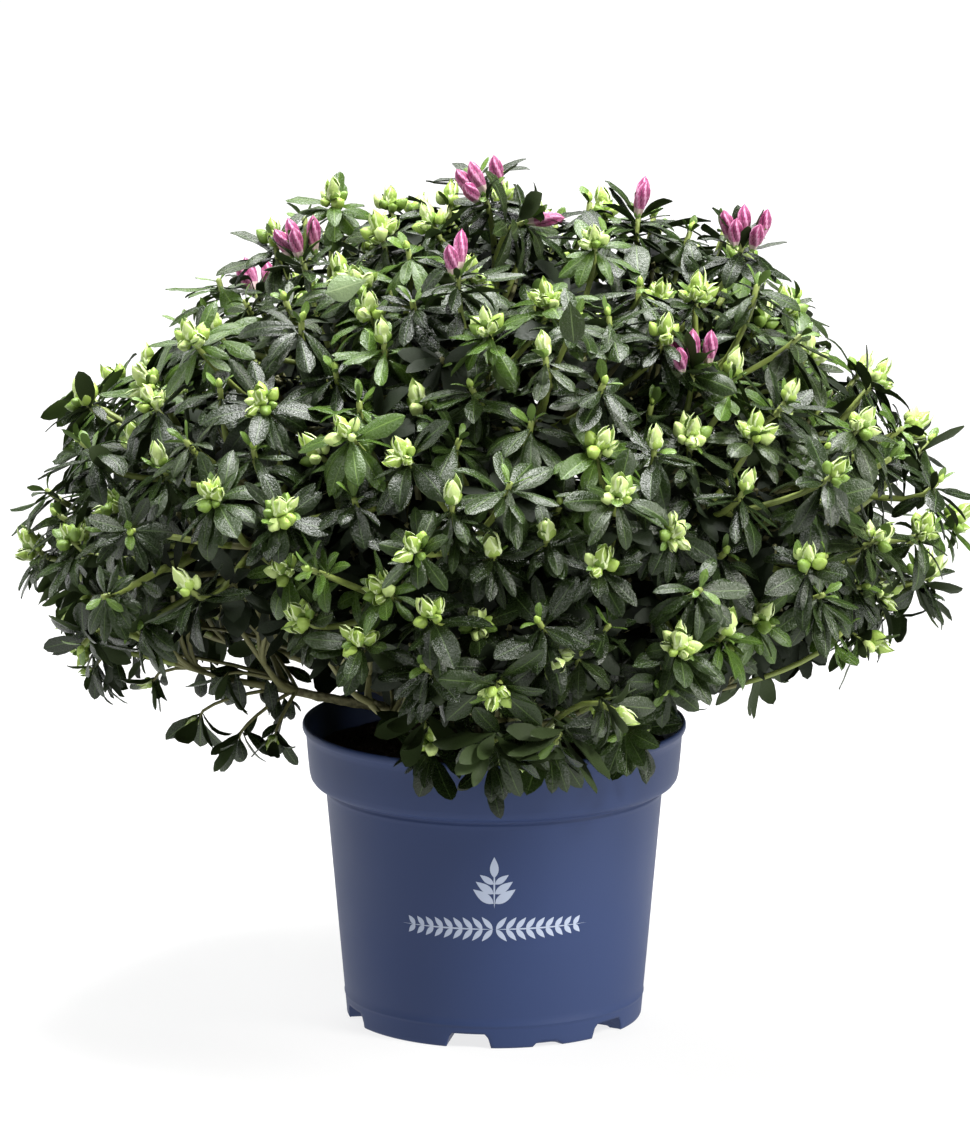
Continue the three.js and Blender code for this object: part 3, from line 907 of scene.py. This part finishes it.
def pot_profile():
    """Outline from the middle of the underside, out, up to the rim and down inside to the floor.

    Each point has its radius, its height and whether the cuts in the foot reach it.
    """
    outline = [(radius * MM, 0.0, 1) for radius in (0, 30, 36, 50, 66, 80)]
    outline += [(FOOT - 1.2 * MM, 0.0, 1), (FOOT - 0.3 * MM, 0.3 * MM, 1), (FOOT + 0.1 * MM, 1.2 * MM, 1)]
    for z in (3, 5, 7, 9, 10.5, 12):
        outline.append((body_radius(z * MM), z * MM, z < 12))
    for z, proud in ((13, 0), (13.6, 0.35), (14.4, 0.35), (15, 0)):
        outline.append((body_radius(z * MM) + proud * MM, z * MM, 0))
    for share in np.linspace(0.14, 0.955, 11):
        outline.append((body_radius(share * BAND_LOW), share * BAND_LOW, 0))
    seam = BAND_LOW - 3.2 * MM
    for lift, proud in ((-1.2, 0), (-0.8, 0.2), (0, 0.3), (0.6, 0.2), (1, 0)):
        outline.append((body_radius(seam) + proud * MM, seam + lift * MM, 0))
    outline += [
        (BODY_TOP, BAND_LOW - 0.6 * MM, 0), (BODY_TOP + 0.5 * MM, BAND_LOW, 0),
        (BODY_TOP + 2 * MM, BAND_LOW + 0.3 * MM, 0), (BODY_TOP + 4.5 * MM, BAND_LOW + 0.9 * MM, 0),
        (BAND_FOOT - 2.6 * MM, BAND_LOW + 2.2 * MM, 0), (BAND_FOOT - 1.0 * MM, BAND_LOW + 4.4 * MM, 0),
        (BAND_FOOT - 0.2 * MM, BAND_LOW + 7.5 * MM, 0),
    ]
    for share in (0.3, 0.5, 0.7):
        radius = lerp(BAND_FOOT, RIM - 1.6 * MM, share)
        outline.append((radius, lerp(BAND_LOW + 7.5 * MM, POT_HEIGHT, share), 0))
    outline += [
        (RIM - 1.5 * MM, POT_HEIGHT - 5.2 * MM, 0), (RIM - 0.5 * MM, POT_HEIGHT - 4.6 * MM, 0),
        (RIM, POT_HEIGHT - 3.4 * MM, 0), (RIM, POT_HEIGHT - 1.6 * MM, 0),
        (RIM - 0.5 * MM, POT_HEIGHT - 0.4 * MM, 0), (RIM - 1.3 * MM, POT_HEIGHT, 0),
        (RIM - WALL - 0.2 * MM, POT_HEIGHT - 0.4 * MM, 0), (RIM - WALL - 0.6 * MM, POT_HEIGHT - 2 * MM, 0),
        (BAND_FOOT - WALL, BAND_LOW + 12 * MM, 0), (BODY_TOP - WALL, BAND_LOW + 2 * MM, 0),
        (FOOT - WALL, FLOOR, 0), (0.0, FLOOR, 0),
    ]
    return np.array(outline)


def make_pot():
    outline = pot_profile()
    r, z, is_cut = outline[:, :1], outline[:, 1:2], outline[:, 2:] > 0
    turn = circle(POT_SIDES)
    x, y = r * np.sin(turn), -r * np.cos(turn)
    level = np.where(is_cut, np.maximum(z, foot_rise(x, y)), z)
    sink = Sink()
    sink.add(np.stack([x, y, level], axis=-1), ring_quads(len(outline), POT_SIDES))
    nodes = Nodes("pot_plastic")
    nodes.set(Specular_IOR_Level=0.3)
    cloud = nodes.noise(14, 4)
    nodes.link(nodes.mix(cloud, linear(38, 54, 92), linear(41, 57, 97)), nodes.shader.inputs["Base Color"])
    grain = nodes.noise(1700, 2)
    nodes.link(nodes.ramp(cloud, 0.5, 0.58), nodes.shader.inputs["Roughness"])
    nodes.bump(grain, 0.00008, 0.6)
    pot = keep("nursery_pot", sink, [nodes.material], ["pot"])
    weld = pot.modifiers.new("weld", "WELD")
    weld.merge_threshold = 0.00001


def make_soil():
    low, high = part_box("soil")
    top, radius = high.z, high.x - 0.6 * MM
    sink = Sink()
    rings, sides, crumbs = 36, 110, 700
    reach = np.linspace(0, 1, rings)[:, None] * radius
    turn = circle(sides)
    lump = rng.normal(0, 1, (rings, sides))
    soft = (lump + np.roll(lump, 1, 0) + np.roll(lump, 1, 1) + np.roll(lump, -1, 1)) / 2
    z = top - 2 * MM + soft * 0.9 * MM
    points = np.stack([reach * np.sin(turn), -reach * np.cos(turn), np.minimum(z, top)], axis=-1)
    sink.add(points, ring_quads(rings, sides)[:, [0, 3, 2, 1]])
    for _ in range(crumbs):
        out = math.sqrt(rng.random()) * (radius - 4 * MM)
        angle = rng.uniform(0, 6.3)
        height = top - rng.uniform(1, 2.5) * MM
        place = np.array([out * math.sin(angle), -out * math.cos(angle), height])
        axis = unit(rng.normal(0, 1, 3))
        size = rng.uniform(1.2, 3.6) * MM
        ovoid(sink, place - axis * size / 2, axis, size, size * rng.uniform(0.25, 0.5), 5, 3, 2, 1, 0.3)
    nodes = Nodes("potting_soil")
    nodes.set(Roughness=0.95, Specular_IOR_Level=0.2)
    noise = nodes.noise(260, 6)
    nodes.link(nodes.mix(noise, linear(24, 18, 15), linear(66, 52, 42)), nodes.shader.inputs["Base Color"])
    nodes.bump(nodes.noise(900, 5), 0.0012)
    keep("soil_surface", sink, [nodes.material], ["soil"])


def printed_leaf(sink, sideways, height, lean, length, half_width):
    """One leaf of the print: a flat strip laid on the pot's front. lean is its angle from upright."""
    share = np.linspace(0, 1, 9)
    wide = half_width * np.sin(np.pi * share ** 0.8)
    side = np.array([-1.0, 1.0])
    u = sideways + share[:, None] * length * math.sin(lean) + wide[:, None] * side * math.cos(lean)
    v = height + share[:, None] * length * math.cos(lean) - wide[:, None] * side * math.sin(lean)
    radius = body_radius(v) + 0.08 * MM
    points = np.stack([radius * np.sin(u / radius), -radius * np.cos(u / radius), v], axis=-1)
    sink.add(points.reshape(-1, 3), grid_quads(len(share), 2))


def make_print():
    """A plain printed decoration on the front: an upright sprig over a leafy garland."""
    sink = Sink()
    sprig, garland = 88 * MM, 75 * MM
    printed_leaf(sink, 0, sprig, 0, 31 * MM, 0.5 * MM)
    printed_leaf(sink, 0, sprig + 19 * MM, 0, 13 * MM, 2.6 * MM)
    for i, size in enumerate((15, 13, 10)):
        for side in (-1, 1):
            foot = sprig + (3 + 6 * i) * MM
            printed_leaf(sink, side * 0.4 * MM, foot, side * 0.95, size * MM, size * 0.19 * MM)
    for side in (-1, 1):
        printed_leaf(sink, 0, garland, side * math.pi / 2, 58 * MM, 0.5 * MM)
        for i in range(9):
            for lean in (0.7, 2.44):
                foot = side * (1 + 6 * i) * MM
                printed_leaf(sink, foot, garland, side * lean, (10 - 0.4 * i) * MM, 1.6 * MM)
    ink = plant_material("pot_print", (168, 178, 198), 0.5, 900, 0.00005, gloss=0.25)
    keep("pot_print", sink, [ink])


make_pot()
make_print()
make_soil()


# ------------------------------------------------------------------ pieces of the shrub

def bark_material(name, dark, light, scale, depth):
    nodes = Nodes(name)
    noise = nodes.noise(scale, 6)
    colour = nodes.mix(nodes.ramp(noise, 0, 1), linear(*dark), linear(*light))
    nodes.link(colour, nodes.shader.inputs["Base Color"])
    nodes.set(Roughness=0.75, Specular_IOR_Level=0.3)
    nodes.bump(noise, depth)
    return nodes.material


bark = bark_material("bark", (82, 78, 54), (150, 148, 110), 320, 0.0008)
keep("stem_and_boughs", bark_sink, [bark], ["stem", *BOUGH_NAMES])
old_twig = plant_material("twig_old", (108, 108, 66), 0.6, 500, 0.0004)
green_twig = plant_material("twig_green", (124, 138, 66), 0.5, 500, 0.0003)
keep("twigs_old", twig_sinks["old"], [old_twig])
keep("twigs_green", twig_sinks["green"], [green_twig])

BUD_TINTS = {
    "lime": (146, 172, 76), "pale": (182, 202, 124), "green": (108, 136, 52), "rim": (204, 218, 164),
}
bud_skins = [plant_material(f"bud_{part}", tint, 0.45, 800, 0.0004) for part, tint in BUD_TINTS.items()]
for i, sink in enumerate(bud_sinks):
    keep(f"leaf_buds_{i + 1}", sink, bud_skins)
# The darkest tint goes in the folds between petals as painted shade, and the crest tint on the petal
# ridges as a painted highlight.
PETAL_TINTS = {
    "calyx": (118, 150, 68), "foot": (196, 172, 170), "middle": (156, 82, 121), "tip": (142, 53, 101),
    "painted_fold_shade": (102, 38, 72), "crest": (186, 126, 160),
}
petals = [plant_material(f"flower_{part}", tint, 0.5, 900, 0.0002) for part, tint in PETAL_TINTS.items()]
keep("flower_buds", blossom_sink, petals)

for tint, sinks in leaf_sinks.items():
    materials = leaf_materials(tint)
    for i, sink in enumerate(sinks):
        stands_for = MASS_NAMES if (tint, i) == ("deep", 0) else ()
        keep(f"leaves_{tint}_{i + 1}", sink, materials, stands_for)
# The inner leaves take a tint a little darker than the deepest outer one: painted shade of the crown's
# inside.
inner = plant_material("leaf_inner", (22, 31, 15), 0.6, 900, 0.0002, gloss=0.2)
keep("leaves_inner", inner_sink, [inner])


# ------------------------------------------------------------------ stage, light and camera

FLOOR_REACH = 60.0


def make_floor():
    """A flat pale floor. It glows a little more further out, where the lights don't reach."""
    sink = Sink()
    steps = np.linspace(-1, 1, 9)
    x, y = np.meshgrid(steps * FLOOR_REACH, steps * FLOOR_REACH, indexing="ij")
    sink.add(np.stack([x, y, np.zeros_like(x)], axis=-1).reshape(-1, 3), grid_quads(9, 9, flip=True))
    nodes = Nodes("studio_floor")
    nodes.set(Base_Color=(0.18, 0.18, 0.18, 1), Roughness=0.7, Specular_IOR_Level=0.2)
    nodes.set(Emission_Color=(1, 1, 1, 1))
    distance = nodes.add("ShaderNodeVectorMath", operation="LENGTH")
    nodes.link(nodes.place(), distance.inputs[0])
    glow = nodes.ramp(distance.outputs["Value"], 0.79, 1.0, 0.8, 3.0)
    nodes.link(glow, nodes.shader.inputs["Emission Strength"])
    object_from("studio_floor", sink, [nodes.material])


def area_light(name, place, target, size, power, colour=(1, 1, 1)):
    light = bpy.data.lights.new(name, "AREA")
    light.shape = "RECTANGLE"
    light.size, light.size_y = size
    light.energy = power
    light.color = colour
    obj = bpy.data.objects.new(name, light)
    bpy.context.scene.collection.objects.link(obj)
    obj.location = place
    aim = Vector(target) - Vector(place)
    obj.rotation_euler = aim.to_track_quat("-Z", "Y").to_euler()


make_floor()
area_light("key_right", (2.1, -1.6, 2.4), (0, 0, 0.3), (0.8, 0.9), 138, (1.0, 0.985, 0.95))
area_light("side_right", (2.3, -1.15, 0.5), (0, 0, 0.1), (0.5, 0.9), 20)
area_light("top_soft", (0.1, 0.2, 2.7), (0, 0, 0.3), (1.1, 1.0), 165)
area_light("fill_left", (-2.0, -1.2, 2.6), (0, 0, 0.3), (0.8, 1.0), 42)
area_light("edge_left", (-1.9, 1.2, 0.8), (0, 0, 0.2), (0.4, 1.4), 12)
area_light("back_soft", (0, 2.6, 2.3), (0, 0, 0.3), (2.4, 1.0), 45)

world = bpy.data.worlds.new("studio")
bpy.context.scene.world = world
world.use_nodes = True
world.node_tree.nodes["Background"].inputs["Color"].default_value = (1, 1, 1, 1)
world.node_tree.nodes["Background"].inputs["Strength"].default_value = 0.1

camera_data = bpy.data.cameras.new("camera")
camera = bpy.data.objects.new("camera", camera_data)
bpy.context.scene.collection.objects.link(camera)
bpy.context.scene.camera = camera
camera_data.sensor_fit = "AUTO"
camera_data.sensor_width = 36
camera_data.lens = 272
camera_data.clip_end = 50
camera.location = (-0.0055, -5.0, 1.344)
target = Vector((-0.0055, 0, 0.274))
camera.rotation_euler = (target - camera.location).to_track_quat("-Z", "Y").to_euler()

view = bpy.context.scene.view_settings
view.view_transform = "Standard"
view.look = "None"
view.exposure = 0.0
